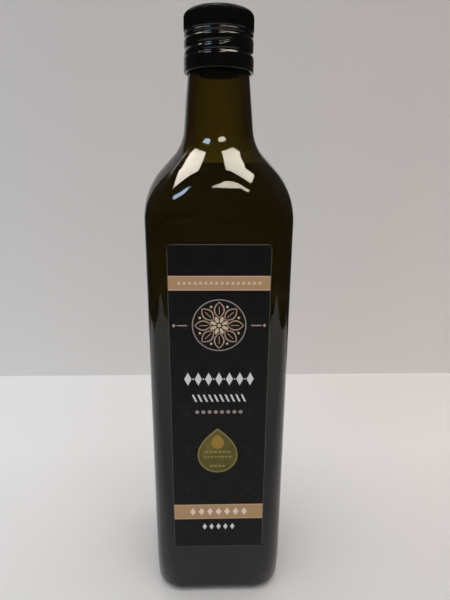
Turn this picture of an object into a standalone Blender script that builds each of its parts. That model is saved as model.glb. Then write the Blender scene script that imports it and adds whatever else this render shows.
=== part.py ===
"""A square glass bottle of olive oil, with its oil, front label, drop-shaped seal and metal screw cap.

Metres, +Z up. The origin is at the middle of the base, on the surface that the bottle stands on,
and the label faces -Y.
"""

from math import atan, ceil, cos, exp, pi, radians, sin, sqrt

import bmesh
import bpy

# Glass, outside
BODY_HALF = 0.0335
BODY_CORNER = 0.0105
BASE_CORNER = 0.0155
BASE_CORNER_HEIGHT = 0.022
HEEL_RADIUS = 0.005
PUNT_HEIGHT = 0.0032
PUNT_HALF = 0.0235
PUNT_STATIONS = ((0.007, 1.0), (0.0165, 0.6))
HEEL_STEPS = 4
BODY_STATIONS = (0.0095, 0.015)
BODY_TOP = 0.2065
SHOULDER_RADIUS = 0.0258
SHOULDER_LEAN = radians(42.5)
SHOULDER_RUN = 0.0077
NECK_FILLET = 0.0197
NECK_LEAN = atan(0.0917)
# Up the shoulder the corner grows by about as much as the height, until the section is round
CORNER_START = 0.2016
CORNER_GROWTH = 1.28
CORNER_EASE = 0.0023
CORNER_BLEND = 4
FINISH_RADIUS = 0.0141
MOUTH_TOP = 0.2878
FINISH_FOOT = 0.2669
LIP_DROP = 0.001
LIP_BEVEL = 0.0008

# Glass, inside. The wall grows up the shoulder to the neck
WALL = 0.003
NECK_WALL = 0.0045
NECK_WALL_START = 0.222
NECK_WALL_FOOT = 0.244
BORE_RADIUS = 0.0098
BORE_FOOT_RADIUS = 0.0101
BORE_FOOT = 0.2614
BORE_STRAIGHT = 0.2684
FLOOR = 0.0075
FLOOR_RISE = 0.001
FLOOR_STATIONS = ((0.010, 0.0008), (0.018, 0.0))
INNER_HEEL = 0.007

# Oil
GAP = 0.0003
OIL_LEVEL = 0.2240
LEVEL_CLEARANCE = 0.0005

# Cap
CAP_TOP = 0.2901
CAP_BOTTOM = 0.2654
CAP_RADIUS = 0.0159
CAP_EDGE = 0.0024
CROWN_LEAN = radians(78)
TOP_SETBACK = 0.0006
CAP_CREST = 0.0159
CAP_INNER = 0.0148
CAP_PANEL = 0.0006
INNER_BEVEL = 0.0016
LIP_ROWS = ((0.0002, 0.0004), (0.0006, 0.0))
BAND_RADIUS = 0.0161
FLUTES = 72
FLUTE_DEPTH = 0.00035
KNURL_BOTTOM = 0.2822
KNURL_FOOT_STEP = 0.0003
KNURL_FOOT_RISE = 0.0004
KNURL_FOOT_DEPTH = 0.4
# Leans up the rounded edge of the top, with the share of the flutes' depth at each
KNURL_LEANS = ((radians(0), 1.0), (radians(28), 0.9), (radians(52), 0.5))
# Grooves pressed into the skirt: two level rings with a bead between them, and the thread's valley
GROOVE_SHARPNESS = 1.6
RINGS = ((0.2815, 0.0006, 0.00045), (0.2796, 0.0009, 0.0006))
THREAD_TOP = 0.2760
THREAD_PITCH = 0.0034
THREAD_TURNS = 1.35
THREAD_START = radians(-54)
THREAD_HALF = 0.0012
THREAD_DEPTH = 0.0006
THREAD_FADE = 0.2
LEAD_TURN = 0.09
LEAD_CLIMB = 0.0014
LEAD_WIDTH = 0.2
BAND_TOP = 0.2729
BAND_SLOPE = 0.0024
SCORE_Z = 0.2675
SCORE_HALF = 0.0004
SCORE_DEPTH = 0.00009

# Front label and seal
LABEL_WIDTH = 0.0462
LABEL_HEIGHT = 0.161
LABEL_BOTTOM = 0.0308
LABEL_CORNER = 0.002
LABEL_THICKNESS = 0.00025
SEAL_X = -0.0006
SEAL_Z = 0.0865
SEAL_RADIUS = 0.0099
SEAL_POINT = 0.0150
SEAL_THICKNESS = 0.0002

# How finely the round forms are divided
CORNER_STEPS = 10
GROWTH_STEPS = 2
ARC_STEPS = 7
OUTLINE_STEPS = 14
SKIRT_STEP = 0.0007
SKIRT_START = 0.0005
PLATE_CORNER_STEPS = 5


def clear_scene():
    for old in list(bpy.data.objects):
        bpy.data.objects.remove(old, do_unlink=True)


def material(name, colour, roughness, metallic=0.0, transmission=0.0, ior=1.5):
    made = bpy.data.materials.new(name)
    made.use_nodes = True
    shader = made.node_tree.nodes["Principled BSDF"]
    shader.inputs["Base Color"].default_value = (*colour, 1.0)
    shader.inputs["Roughness"].default_value = roughness
    shader.inputs["Metallic"].default_value = metallic
    shader.inputs["Transmission Weight"].default_value = transmission
    shader.inputs["IOR"].default_value = ior
    return made


def add_object(name, bm, finish, crease=radians(35)):
    bmesh.ops.recalc_face_normals(bm, faces=bm.faces)
    mesh = bpy.data.meshes.new(name)
    bm.to_mesh(mesh)
    bm.free()
    mesh.shade_smooth()
    mesh.set_sharp_from_angle(angle=crease)
    mesh.materials.append(finish)
    made = bpy.data.objects.new(name, mesh)
    bpy.context.scene.collection.objects.link(made)
    return made


def add_ring(bm, points):
    return [bm.verts.new(point) for point in points]


def join_rings(bm, low, high):
    """Faces between two rings. One of them may have twice as many points as the other."""
    few, many = (low, high) if len(low) <= len(high) else (high, low)
    share = len(many) // len(few)
    for i in range(len(few)):
        after = (i + 1) % len(few)
        far = [many[(i * share + k) % len(many)] for k in range(share, -1, -1)]
        bm.faces.new([few[i], few[after], *far])


def close_ring(bm, ring, centre):
    hub = bm.verts.new(centre)
    for i in range(len(ring)):
        bm.faces.new([hub, ring[i], ring[(i + 1) % len(ring)]])


def loft(bm, rings):
    for low, high in zip(rings, rings[1:]):
        join_rings(bm, low, high)


def square_ring(half, corner, z):
    """A square section with round corners. It is a circle where the corner is as large as the half."""
    turn = pi / 2 / CORNER_STEPS
    corner = min(corner, half)
    offset = half - corner * cos(turn / 2)
    points = []
    for side in range(4):
        sx = 1 if side in (0, 3) else -1
        sy = 1 if side in (0, 1) else -1
        for step in range(CORNER_STEPS):
            angle = side * pi / 2 + (step + 0.5) * turn
            points.append((sx * offset + corner * cos(angle), sy * offset + corner * sin(angle), z))
    return points


def arc(centre_half, centre_z, radius, start, end, steps):
    """Points (half, z) on an arc of the side profile, where angle 0 points away from the axis."""
    angles = [start + (end - start) * k / steps for k in range(steps + 1)]
    return [(centre_half + radius * cos(a), centre_z + radius * sin(a)) for a in angles]


def shoulder_line():
    """Points (half, z, lean) outside, from where the corners start to grow to the neck's foot."""
    climb = (BODY_TOP - CORNER_START) / GROWTH_STEPS
    points = [(BODY_HALF, CORNER_START + climb * k, 0.0) for k in range(GROWTH_STEPS)]
    centre = BODY_HALF - SHOULDER_RADIUS
    for k in range(ARC_STEPS + 1):
        lean = SHOULDER_LEAN * k / ARC_STEPS
        half = centre + SHOULDER_RADIUS * cos(lean)
        points.append((half, BODY_TOP + SHOULDER_RADIUS * sin(lean), lean))
    reach = SHOULDER_RADIUS + NECK_FILLET
    fillet_half = centre + reach * cos(SHOULDER_LEAN) - SHOULDER_RUN * sin(SHOULDER_LEAN)
    fillet_z = BODY_TOP + reach * sin(SHOULDER_LEAN) + SHOULDER_RUN * cos(SHOULDER_LEAN)
    for k in range(ARC_STEPS + 1):
        lean = SHOULDER_LEAN + (NECK_LEAN - SHOULDER_LEAN) * k / ARC_STEPS
        points.append((fillet_half - NECK_FILLET * cos(lean), fillet_z - NECK_FILLET * sin(lean), lean))
    return points


def wall_at(z):
    """How thick the glass is: it grows up the shoulder to the neck."""
    share = min(1, max(0, (z - NECK_WALL_START) / (NECK_WALL_FOOT - NECK_WALL_START)))
    return WALL + (NECK_WALL - WALL) * share * share * (3 - 2 * share)


def shoulder_inside(gap):
    """Points (half, z) up the inside of the shoulder, or this far in from the glass."""
    points = []
    for half, z, lean in shoulder_line():
        depth = wall_at(z) + gap
        points.append((half - depth * cos(lean), z - depth * sin(lean)))
    return points


def corner_at(half, z, inset):
    """The corner radius of the section at one height. It nears the half as the section turns round."""
    fall = max(0, 1 - z / BASE_CORNER_HEIGHT)
    climb = max(0, z - CORNER_START)
    base = (BASE_CORNER - BODY_CORNER) * fall**2
    free = BODY_CORNER - inset + base + CORNER_GROWTH * climb**2 / (climb + CORNER_EASE)
    return (free**-CORNER_BLEND + half**-CORNER_BLEND) ** (-1 / CORNER_BLEND)


def glass_outside():
    """Points (half, z) up the outside, from the punt under the base to the lip of the mouth."""
    punt = [(half, PUNT_HEIGHT * share) for half, share in PUNT_STATIONS]
    heel = arc(BODY_HALF - HEEL_RADIUS, HEEL_RADIUS, HEEL_RADIUS, -pi / 2, 0, HEEL_STEPS)
    body = [(BODY_HALF, z) for z in (*BODY_STATIONS, BASE_CORNER_HEIGHT)]
    shoulder = [(half, z) for half, z, lean in shoulder_line()]
    neck = [(FINISH_RADIUS, FINISH_FOOT), (FINISH_RADIUS, MOUTH_TOP - LIP_DROP)]
    lip = [(FINISH_RADIUS - LIP_BEVEL, MOUTH_TOP)]
    return punt + [(PUNT_HALF, 0.0)] + heel + body + shoulder + neck + lip


def glass_inside(gap=0.0):
    """Points (half, z) up the inside, from the floor to the foot of the neck."""
    inset = WALL + gap
    half = BODY_HALF - inset
    floor = [(station, FLOOR + gap + rise) for station, rise in FLOOR_STATIONS]
    heel_z = FLOOR + INNER_HEEL + gap
    heel = arc(half - INNER_HEEL, heel_z, INNER_HEEL, -pi / 2, 0, HEEL_STEPS)
    return floor + heel + [(half, BASE_CORNER_HEIGHT)] + shoulder_inside(gap)


def bore():
    """Points (half, z) up the bore of the neck, to the rounded inner edge of the mouth."""
    wall = [(BORE_FOOT_RADIUS, BORE_FOOT), (BORE_RADIUS, BORE_STRAIGHT)]
    lip = [(BORE_RADIUS, MOUTH_TOP - LIP_DROP), (BORE_RADIUS + LIP_BEVEL, MOUTH_TOP)]
    return wall + lip


def section_rings(bm, profile, inset):
    rings = []
    for half, z in profile:
        points = square_ring(half, corner_at(half, z, inset), z)
        rings.append(add_ring(bm, points))
    return rings


def build_bottle():
    bm = bmesh.new()
    outside = section_rings(bm, glass_outside(), 0)
    inside = section_rings(bm, glass_inside() + bore(), WALL)
    loft(bm, outside + inside[::-1])
    close_ring(bm, outside[0], (0, 0, PUNT_HEIGHT))
    close_ring(bm, inside[0], (0, 0, FLOOR + FLOOR_RISE))
    finish = material("dark_olive_glass", (0.055, 0.045, 0.012), 0.02, transmission=1.0)
    return add_object("glass_bottle", bm, finish)


def level_point(profile):
    """The point where the inner profile meets the oil's level."""
    for (half, z), (next_half, next_z) in zip(profile, profile[1:]):
        if z <= OIL_LEVEL < next_z:
            share = (OIL_LEVEL - z) / (next_z - z)
            return (half + share * (next_half - half), OIL_LEVEL)
    return profile[-1]


def build_oil():
    profile = glass_inside(GAP)
    wetted = [point for point in profile if point[1] < OIL_LEVEL - LEVEL_CLEARANCE]
    bm = bmesh.new()
    rings = section_rings(bm, wetted + [level_point(profile)], WALL + GAP)
    loft(bm, rings)
    close_ring(bm, rings[0], (0, 0, FLOOR + GAP + FLOOR_RISE))
    close_ring(bm, rings[-1], (0, 0, OIL_LEVEL))
    finish = material("olive_oil", (0.45, 0.36, 0.03), 0.0, transmission=1.0, ior=1.47)
    return add_object("olive_oil", bm, finish)


def dip(distance, half_width):
    """A smooth groove of depth 1 over twice the half width."""
    return exp(-((distance / half_width) ** 2) * GROOVE_SHARPNESS)


def thread_dip(angle, z):
    """How deep the thread's valley is. It climbs to the right, and its upper end tapers to a wedge."""
    depth = 0.0
    back = (THREAD_START - angle) % (2 * pi)
    for turn in range(ceil(THREAD_TURNS)):
        along = (back + 2 * pi * turn) / (2 * pi)
        lead = min(1, along / LEAD_TURN)
        fade = min(1, max(0, (THREAD_TURNS - along) / THREAD_FADE))
        centre = THREAD_TOP - THREAD_PITCH * along + LEAD_CLIMB * (1 - lead)
        half = THREAD_HALF * (LEAD_WIDTH + (1 - LEAD_WIDTH) * lead)
        depth = max(depth, lead * fade * dip(z - centre, half))
    return THREAD_DEPTH * depth


def skirt_radius(z, angle):
    """The cap's skirt: the full crest with its pressed grooves, and the fuller lower band."""
    waist = CAP_CREST - sum(depth * dip(z - ring_z, half) for ring_z, half, depth in RINGS)
    waist -= thread_dip(angle, z)
    share = min(1, max(0, (BAND_TOP - z) / BAND_SLOPE))
    full = BAND_RADIUS - SCORE_DEPTH * dip(z - SCORE_Z, SCORE_HALF)
    return waist + (full - waist) * share * share * (3 - 2 * share)


def cap_ring(z, count, radius_at):
    turns = [2 * pi * k / count for k in range(count)]
    return [(radius_at(a) * cos(a), radius_at(a) * sin(a), z) for a in turns]


def cap_edge(lean):
    """The radius and height of the cap's rounded upper edge at one lean from level."""
    return CAP_RADIUS - CAP_EDGE * (1 - cos(lean)), CAP_TOP - CAP_EDGE * (1 - sin(lean))


def knurl_rings(bm):
    """Rings of fine upright flutes, from the knurl's foot over the rounded edge of the top."""
    count = FLUTES * 2
    rows = [(CAP_RADIUS - KNURL_FOOT_STEP, KNURL_BOTTOM, KNURL_FOOT_DEPTH)]
    rows.append((CAP_RADIUS, KNURL_BOTTOM + KNURL_FOOT_RISE, 1.0))
    rows += [(*cap_edge(lean), depth) for lean, depth in KNURL_LEANS]
    rings = []
    for radius, z, depth in rows:
        points = []
        for k in range(count):
            r = radius - FLUTE_DEPTH * depth * (k % 2)
            points.append((r * cos(2 * pi * k / count), r * sin(2 * pi * k / count), z))
        rings.append(add_ring(bm, points))
    return rings


def skirt_rings(bm):
    """Rings down the skirt from just under the knurl to the lip that is rolled in under the band."""
    rows = round((KNURL_BOTTOM - CAP_BOTTOM) / SKIRT_STEP) - 1
    heights = [KNURL_BOTTOM - SKIRT_START - SKIRT_STEP * row for row in range(rows)]
    rings = []
    for z in heights:
        points = cap_ring(z, FLUTES, lambda a, z=z: skirt_radius(z, a))
        rings.append(add_ring(bm, points))
    for setback, rise in LIP_ROWS:
        radius = BAND_RADIUS - setback
        rings.append(add_ring(bm, cap_ring(CAP_BOTTOM + rise, FLUTES, lambda a, r=radius: r)))
    return rings[::-1]


def build_cap():
    bm = bmesh.new()
    inner = FLUTES // 2
    lip = add_ring(bm, cap_ring(CAP_BOTTOM, inner, lambda a: CAP_INNER))
    crown_radius, crown_z = cap_edge(CROWN_LEAN)
    crown = add_ring(bm, cap_ring(crown_z, FLUTES, lambda a: crown_radius))
    panel_radius = CAP_RADIUS - CAP_EDGE - TOP_SETBACK
    panel = add_ring(bm, cap_ring(CAP_TOP, inner, lambda a: panel_radius))
    roof_z = CAP_TOP - CAP_PANEL
    roof = add_ring(bm, cap_ring(roof_z, inner, lambda a: CAP_INNER - INNER_BEVEL))
    cheek = add_ring(bm, cap_ring(roof_z - INNER_BEVEL, inner, lambda a: CAP_INNER))
    loft(bm, [cheek, lip, *skirt_rings(bm), *knurl_rings(bm), crown, panel])
    join_rings(bm, cheek, roof)
    close_ring(bm, panel, (0, 0, CAP_TOP))
    close_ring(bm, roof, (0, 0, roof_z))
    finish = material("black_lacquered_metal", (0.012, 0.012, 0.014), 0.25)
    return add_object("screw_cap", bm, finish, crease=radians(50))


def plate(bm, outline, back_y, thickness):
    """A thin upright plate: the outline (x, z) filled, and drawn out towards the front."""
    back = [bm.verts.new((x, back_y, z)) for x, z in outline]
    front = [bm.verts.new((x, back_y - thickness, z)) for x, z in outline]
    bm.faces.new(back)
    bm.faces.new(front[::-1])
    for i in range(len(outline)):
        after = (i + 1) % len(outline)
        bm.faces.new([back[i], front[i], front[after], back[after]])


def rounded_rectangle(width, height, low_z, corner):
    points = []
    for quarter, (sx, sz) in enumerate(((1, 1), (-1, 1), (-1, -1), (1, -1))):
        for step in range(PLATE_CORNER_STEPS + 1):
            angle = (quarter + step / PLATE_CORNER_STEPS) * pi / 2
            x = sx * (width / 2 - corner) + corner * cos(angle)
            z = low_z + height / 2 + sz * (height / 2 - corner) + corner * sin(angle)
            points.append((x, z))
    return points


def drop_outline():
    """A falling drop: a round belly below its widest line, and a parabola up to its point."""
    belly = [pi + pi * k / OUTLINE_STEPS for k in range(OUTLINE_STEPS)]
    points = [(SEAL_X + SEAL_RADIUS * cos(a), SEAL_Z + SEAL_RADIUS * sin(a)) for a in belly]
    for k in range(2 * OUTLINE_STEPS):
        across = 1 - k / OUTLINE_STEPS
        points.append((SEAL_X + SEAL_RADIUS * across, SEAL_Z + SEAL_POINT * sqrt(1 - abs(across))))
    return points


def build_label():
    bm = bmesh.new()
    outline = rounded_rectangle(LABEL_WIDTH, LABEL_HEIGHT, LABEL_BOTTOM, LABEL_CORNER)
    plate(bm, outline, -BODY_HALF - GAP, LABEL_THICKNESS)
    return add_object("front_label", bm, material("label_paper", (0.014, 0.014, 0.013), 0.5))


def build_seal():
    bm = bmesh.new()
    back_y = -BODY_HALF - GAP - LABEL_THICKNESS - GAP
    plate(bm, drop_outline(), back_y, SEAL_THICKNESS)
    return add_object("drop_seal", bm, material("gold_foil", (0.17, 0.115, 0.03), 0.35, 0.6))


clear_scene()
build_bottle()
build_oil()
build_cap()
build_label()
build_seal()
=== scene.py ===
from math import atan, ceil, cos, exp, pi, radians, sin, sqrt

import bmesh
import bpy
from mathutils import Matrix, Vector


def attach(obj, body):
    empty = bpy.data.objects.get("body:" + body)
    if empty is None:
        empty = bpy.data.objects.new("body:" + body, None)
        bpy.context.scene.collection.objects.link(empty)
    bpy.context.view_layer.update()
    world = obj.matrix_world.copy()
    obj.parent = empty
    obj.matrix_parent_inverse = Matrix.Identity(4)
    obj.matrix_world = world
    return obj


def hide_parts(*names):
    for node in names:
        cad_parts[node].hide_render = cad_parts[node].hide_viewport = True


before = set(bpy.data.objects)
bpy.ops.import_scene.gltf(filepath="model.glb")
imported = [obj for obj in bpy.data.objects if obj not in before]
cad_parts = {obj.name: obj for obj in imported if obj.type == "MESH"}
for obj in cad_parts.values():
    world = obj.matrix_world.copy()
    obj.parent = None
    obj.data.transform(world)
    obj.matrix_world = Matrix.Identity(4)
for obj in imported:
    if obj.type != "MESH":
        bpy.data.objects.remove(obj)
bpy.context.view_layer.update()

# Everything is in metres, +Z up, with the label facing -Y.

# Glass, outside
BODY_HALF = 0.0335
BODY_CORNER = 0.0105
BASE_CORNER = 0.0155
BASE_CORNER_HEIGHT = 0.022
HEEL_RADIUS = 0.005
PUNT_HEIGHT = 0.0032
PUNT_HALF = 0.0235
BODY_TOP = 0.2065
SHOULDER_RADIUS = 0.0258
SHOULDER_LEAN = radians(42.5)
SHOULDER_RUN = 0.0077
NECK_FILLET = 0.0197
NECK_LEAN = atan(0.0917)
# Up the shoulder the corner grows by about as much as the height, until the section is round
CORNER_START = 0.2016
CORNER_GROWTH = 1.28
CORNER_EASE = 0.0023
CORNER_BLEND = 4
FINISH_RADIUS = 0.0141
FINISH_FOOT = 0.2669
MOUTH_TOP = 0.2878
LIP_EDGE = 0.0009
# The mould's seam, a fine ridge up the front left and the back right corner
SEAM_RISE = 0.00005
SEAM_HALF = 0.00024
SEAM_STATIONS = (-0.0002, -0.0001, 0.0, 0.0001, 0.0002)
SEAM_SIDES = (0, 2)

# Glass, inside
WALL = 0.003
NECK_WALL = 0.0045
NECK_WALL_START = 0.222
NECK_WALL_FOOT = 0.244
BORE_RADIUS = 0.0098
BORE_FOOT_RADIUS = 0.0101
BORE_FOOT = 0.2614
BORE_STRAIGHT = 0.2684
FLOOR = 0.0075
FLOOR_RISE = 0.001
FLOOR_HALF = 0.0235
INNER_HEEL = 0.007

# Oil, which reaches a little way into the glass so that no air shows between them
OIL_REACH = 0.00015
OIL_LEVEL = 0.2240
MENISCUS_RISE = 0.0009
MENISCUS_WIDTH = 0.0013
MENISCUS_STEPS = (0.0, 0.0003, 0.0007, 0.0012, 0.002, 0.0032, 0.005, 0.008)

# Cap
CAP_TOP = 0.2901
CAP_BOTTOM = 0.2654
CAP_RADIUS = 0.0159
CAP_EDGE = 0.0024
CAP_CREST = 0.0159
CAP_INNER = 0.0148
CAP_PANEL = 0.0006
INNER_BEVEL = 0.0016
BAND_RADIUS = 0.0161
LIP_ROUND = 0.0005
FLUTES = 72
FLUTE_DEPTH = 0.00035
# Powers under 1 make the flutes wider than the ribs between them, and keep them deep over the top edge
FLUTE_POWER = 0.8
FLUTE_FADE_POWER = 0.8
KNURL_BOTTOM = 0.2822
KNURL_FOOT = 0.0005
# Grooves pressed into the skirt: two level rings with a bead between them, and the thread's valley
GROOVE_SHARPNESS = 1.6
RINGS = ((0.2815, 0.0006, 0.00045), (0.2796, 0.0009, 0.0006))
THREAD_TOP = 0.2760
THREAD_PITCH = 0.0034
THREAD_TURNS = 1.35
THREAD_START = radians(-54)
THREAD_HALF = 0.0012
THREAD_DEPTH = 0.0006
THREAD_FADE = 0.2
LEAD_TURN = 0.09
LEAD_CLIMB = 0.0014
LEAD_WIDTH = 0.2
BAND_TOP = 0.2729
BAND_SLOPE = 0.0024
SCORE_Z = 0.2675
SCORE_HALF = 0.0004
SCORE_DEPTH = 0.00009
SCORE_BRIDGES = 18
# On a bridge the score keeps this share of its depth, and the bridge ends this steeply
BRIDGE_DEPTH = 0.3
BRIDGE_STEEPNESS = 4

# Front label and seal
PAPER_GAP = 0.00003
LABEL_WIDTH = 0.0462
LABEL_HEIGHT = 0.161
LABEL_BOTTOM = 0.0308
LABEL_CORNER = 0.002
LABEL_THICKNESS = 0.0002
SEAL_X = -0.0006
SEAL_Z = 0.0865
SEAL_RADIUS = 0.0099
SEAL_POINT = 0.0150
SEAL_THICKNESS = 0.00012

# Edges sharper than this stay sharp
CREASE = radians(40)

# How finely the round forms are divided
CORNER_STEPS = 32
GROWTH_STEPS = 8
SHOULDER_STEPS = 28
HEEL_STEPS = 10
LIP_STEPS = 4
BODY_STEP = 0.002
BODY_ROWS = 12
PUNT_STEPS = 8
CAP_COUNT = FLUTES * 6
KNURL_FOOT_STEPS = 4
KNURL_STEPS = 10
SKIRT_STEP = 0.00015
EDGE_STEPS = 10
PLATE_CORNER_STEPS = 12
OUTLINE_STEPS = 40

# The camera's place and aim, and its focal length in pixels of a picture 600 pixels high
CAMERA_PLACE = (-0.00367, -0.22862, 0.22191)
CAMERA_HEADING = radians(1.828)
CAMERA_PITCH = radians(15.804)
CAMERA_ROLL = radians(0.409)
CAMERA_FOCAL = 451
PICTURE_HEIGHT = 600
SENSOR = 36
CAMERA_CLIP = 0.01

# Stage: the wall behind, and a dim surround that bounds what the gloss shows of table and wall
WALL_Y = 0.243
WALL_HEIGHT = 0.6
STAGE_REACH = 3
# Painted light: the wall's paint is lighter at its foot than at its top, and the table's lighter at the back
# than in front
WALL_FADE = (0.0, 0.38)
TABLE_LIGHT_FADE = (-0.1, 0.1)
SIDE_FADE = (-0.2, 0.2)
# In front of the picture the table has darker paint of its own, a painted shade: where that gives way, and
# where it changes
NEAR_SHADE_FADE = (-0.1, -0.046)
FRONT_SHADE_FADE = (-0.26, -0.12)
SURROUND_SIDE = 0.47
SURROUND_FRONT = -0.5
SURROUND_BACK = 0.235
SURROUND_HEIGHT = 0.6
# Between these two places the surround is open, and gloss shows the pale wall
WALL_SEEN = (-0.25, 0.13)

# Four panels in a low ceiling, two over the bottle and two in front of it
PANEL_HEIGHT = 1.5
PANEL_TURN = radians(-11)
# Watts for each square metre of a panel, at a brightness of 1
PANEL_WATTS = 4
ROOM_COLOUR = (0.97, 0.98, 1.0, 1.0)
# The room's even light, and how bright it looks where it is mirrored
ROOM_LIGHT = 0.42
ROOM_SEEN = 0.04
PANELS = (
    ("panel_over_left", (-0.65, 0.29), (0.6, 0.6), (1.0, 0.91, 0.79), 9.6),
    ("panel_over_right", (0.43, -0.01), (0.6, 0.6), (1.0, 0.93, 0.78), 9.3),
    ("panel_front_left", (-0.84, -0.86), (0.50, 0.48), (0.53, 0.72, 0.96), 10.9),
    ("panel_front_right", (0.28, -1.24), (0.54, 0.5), (1.0, 0.89, 0.74), 10.3),
)

# The soft light that falls from the whole ceiling, cooler on the left
SKY_SIZE = (1.35, 2.4)
SKY_LIGHT = 1.25
SKIES = (
    ("soft_left", (-0.75, -0.4), (0.97, 0.99, 1.0)),
    ("soft_right", (0.60, -0.4), (1.0, 0.975, 0.955)),
)


# Small helpers for meshes

def add_object(name, bm, finishes):
    bmesh.ops.recalc_face_normals(bm, faces=bm.faces)
    mesh = bpy.data.meshes.new(name)
    bm.to_mesh(mesh)
    bm.free()
    mesh.shade_smooth()
    mesh.set_sharp_from_angle(angle=CREASE)
    for finish in finishes:
        mesh.materials.append(finish)
    made = bpy.data.objects.new(name, mesh)
    bpy.context.scene.collection.objects.link(made)
    return made


def fit(piece, node):
    """The piece stands for one node of the model and rides where that node does."""
    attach(piece, "root")
    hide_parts(node)


def add_ring(bm, points):
    return [bm.verts.new(point) for point in points]


def join_rings(bm, low, high):
    for i in range(len(low)):
        after = (i + 1) % len(low)
        bm.faces.new([low[i], low[after], high[after], high[i]])


def close_ring(bm, ring, centre):
    hub = bm.verts.new(centre)
    for i in range(len(ring)):
        bm.faces.new([hub, ring[i], ring[(i + 1) % len(ring)]])


def loft(bm, rings):
    for low, high in zip(rings, rings[1:]):
        join_rings(bm, low, high)


def ease(share):
    """0 to 1 with a gentle start and end."""
    return share * share * (3 - 2 * share)


# Bottle and oil

def corner_turns(corner):
    """Angles across one round corner, with some close together at its middle for the mould's seam."""
    even = [(step + 0.5) * pi / 2 / CORNER_STEPS for step in range(CORNER_STEPS)]
    return sorted(even + [pi / 4 + station / corner for station in SEAM_STATIONS])


def square_ring(half, corner, z, seam=0.0):
    """A square section with round corners. It is a circle where the corner is as large as the half."""
    offset = half - corner * cos(pi / 4 / CORNER_STEPS)
    points = []
    for side in range(4):
        sx = 1 if side in (0, 3) else -1
        sy = 1 if side in (0, 1) else -1
        for turn in corner_turns(corner):
            off_seam = min(1, abs(turn - pi / 4) * corner / SEAM_HALF)
            ridge = seam * cos(off_seam * pi / 2) ** 2 if side in SEAM_SIDES else 0
            angle = side * pi / 2 + turn
            reach = corner + ridge
            points.append((sx * offset + reach * cos(angle), sy * offset + reach * sin(angle), z))
    return points


def arc(centre_half, centre_z, radius, start, end, steps):
    """Points (half, z) on an arc of the side profile, where angle 0 points away from the axis."""
    angles = [start + (end - start) * k / steps for k in range(steps + 1)]
    return [(centre_half + radius * cos(a), centre_z + radius * sin(a)) for a in angles]


def shoulder_line():
    """Points (half, z, lean) outside, from where the corners start to grow to the neck's foot."""
    climb = (BODY_TOP - CORNER_START) / GROWTH_STEPS
    points = [(BODY_HALF, CORNER_START + climb * k, 0.0) for k in range(GROWTH_STEPS)]
    centre = BODY_HALF - SHOULDER_RADIUS
    for k in range(SHOULDER_STEPS + 1):
        lean = SHOULDER_LEAN * k / SHOULDER_STEPS
        half = centre + SHOULDER_RADIUS * cos(lean)
        points.append((half, BODY_TOP + SHOULDER_RADIUS * sin(lean), lean))
    reach = SHOULDER_RADIUS + NECK_FILLET
    fillet_half = centre + reach * cos(SHOULDER_LEAN) - SHOULDER_RUN * sin(SHOULDER_LEAN)
    fillet_z = BODY_TOP + reach * sin(SHOULDER_LEAN) + SHOULDER_RUN * cos(SHOULDER_LEAN)
    for k in range(SHOULDER_STEPS + 1):
        lean = SHOULDER_LEAN + (NECK_LEAN - SHOULDER_LEAN) * k / SHOULDER_STEPS
        points.append((fillet_half - NECK_FILLET * cos(lean), fillet_z - NECK_FILLET * sin(lean), lean))
    return points


def wall_at(z):
    """How thick the glass is: it grows up the shoulder to the neck."""
    share = min(1, max(0, (z - NECK_WALL_START) / (NECK_WALL_FOOT - NECK_WALL_START)))
    return WALL + (NECK_WALL - WALL) * ease(share)


def shoulder_inside(reach):
    """Points (half, z) up the inside of the shoulder, or this far into its glass."""
    points = []
    for half, z, lean in shoulder_line():
        depth = wall_at(z) - reach
        points.append((half - depth * cos(lean), z - depth * sin(lean)))
    return points


def corner_at(half, z, inset):
    """The corner radius of the section at one height. It nears the half as the section turns round."""
    fall = max(0, 1 - z / BASE_CORNER_HEIGHT)
    climb = max(0, z - CORNER_START)
    base = (BASE_CORNER - BODY_CORNER) * fall**2
    free = BODY_CORNER - inset + base + CORNER_GROWTH * climb**2 / (climb + CORNER_EASE)
    return (free**-CORNER_BLEND + half**-CORNER_BLEND) ** (-1 / CORNER_BLEND)


def body_heights(start):
    """Heights from just above the heel to just under the shoulder, close together near the base."""
    near = [start + BODY_STEP * k for k in range(1, ceil((BASE_CORNER_HEIGHT - start) / BODY_STEP))]
    rise = (CORNER_START - BASE_CORNER_HEIGHT) / BODY_ROWS
    return near + [BASE_CORNER_HEIGHT + rise * k for k in range(BODY_ROWS)]


def glass_outside():
    """Points (half, z) up the outside, from the punt under the base to the lip of the mouth."""
    stations = [PUNT_HALF * (k + 1) / PUNT_STEPS for k in range(PUNT_STEPS)]
    punt = [(half, PUNT_HEIGHT * (1 - (half / PUNT_HALF) ** 2)) for half in stations]
    heel = arc(BODY_HALF - HEEL_RADIUS, HEEL_RADIUS, HEEL_RADIUS, -pi / 2, 0, HEEL_STEPS)
    body = [(BODY_HALF, z) for z in body_heights(HEEL_RADIUS)]
    shoulder = [(half, z) for half, z, lean in shoulder_line()]
    lip = arc(FINISH_RADIUS - LIP_EDGE, MOUTH_TOP - LIP_EDGE, LIP_EDGE, 0, pi / 2, LIP_STEPS)
    return punt + heel + body + shoulder + [(FINISH_RADIUS, FINISH_FOOT)] + lip


def glass_inside(reach=0.0):
    """Points (half, z) up the inside, from the floor to the foot of the neck, or this far into the glass."""
    half = BODY_HALF - WALL + reach
    floor_z = FLOOR - reach
    stations = [FLOOR_HALF * (k + 1) / PUNT_STEPS for k in range(PUNT_STEPS - 1)]
    floor = [(s, floor_z + FLOOR_RISE * (1 - (s / FLOOR_HALF) ** 2)) for s in stations]
    heel_z = floor_z + INNER_HEEL
    heel = arc(half - INNER_HEEL, heel_z, INNER_HEEL, -pi / 2, 0, HEEL_STEPS)
    body = [(half, z) for z in body_heights(heel_z)]
    return floor + heel + body + shoulder_inside(reach)


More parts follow.
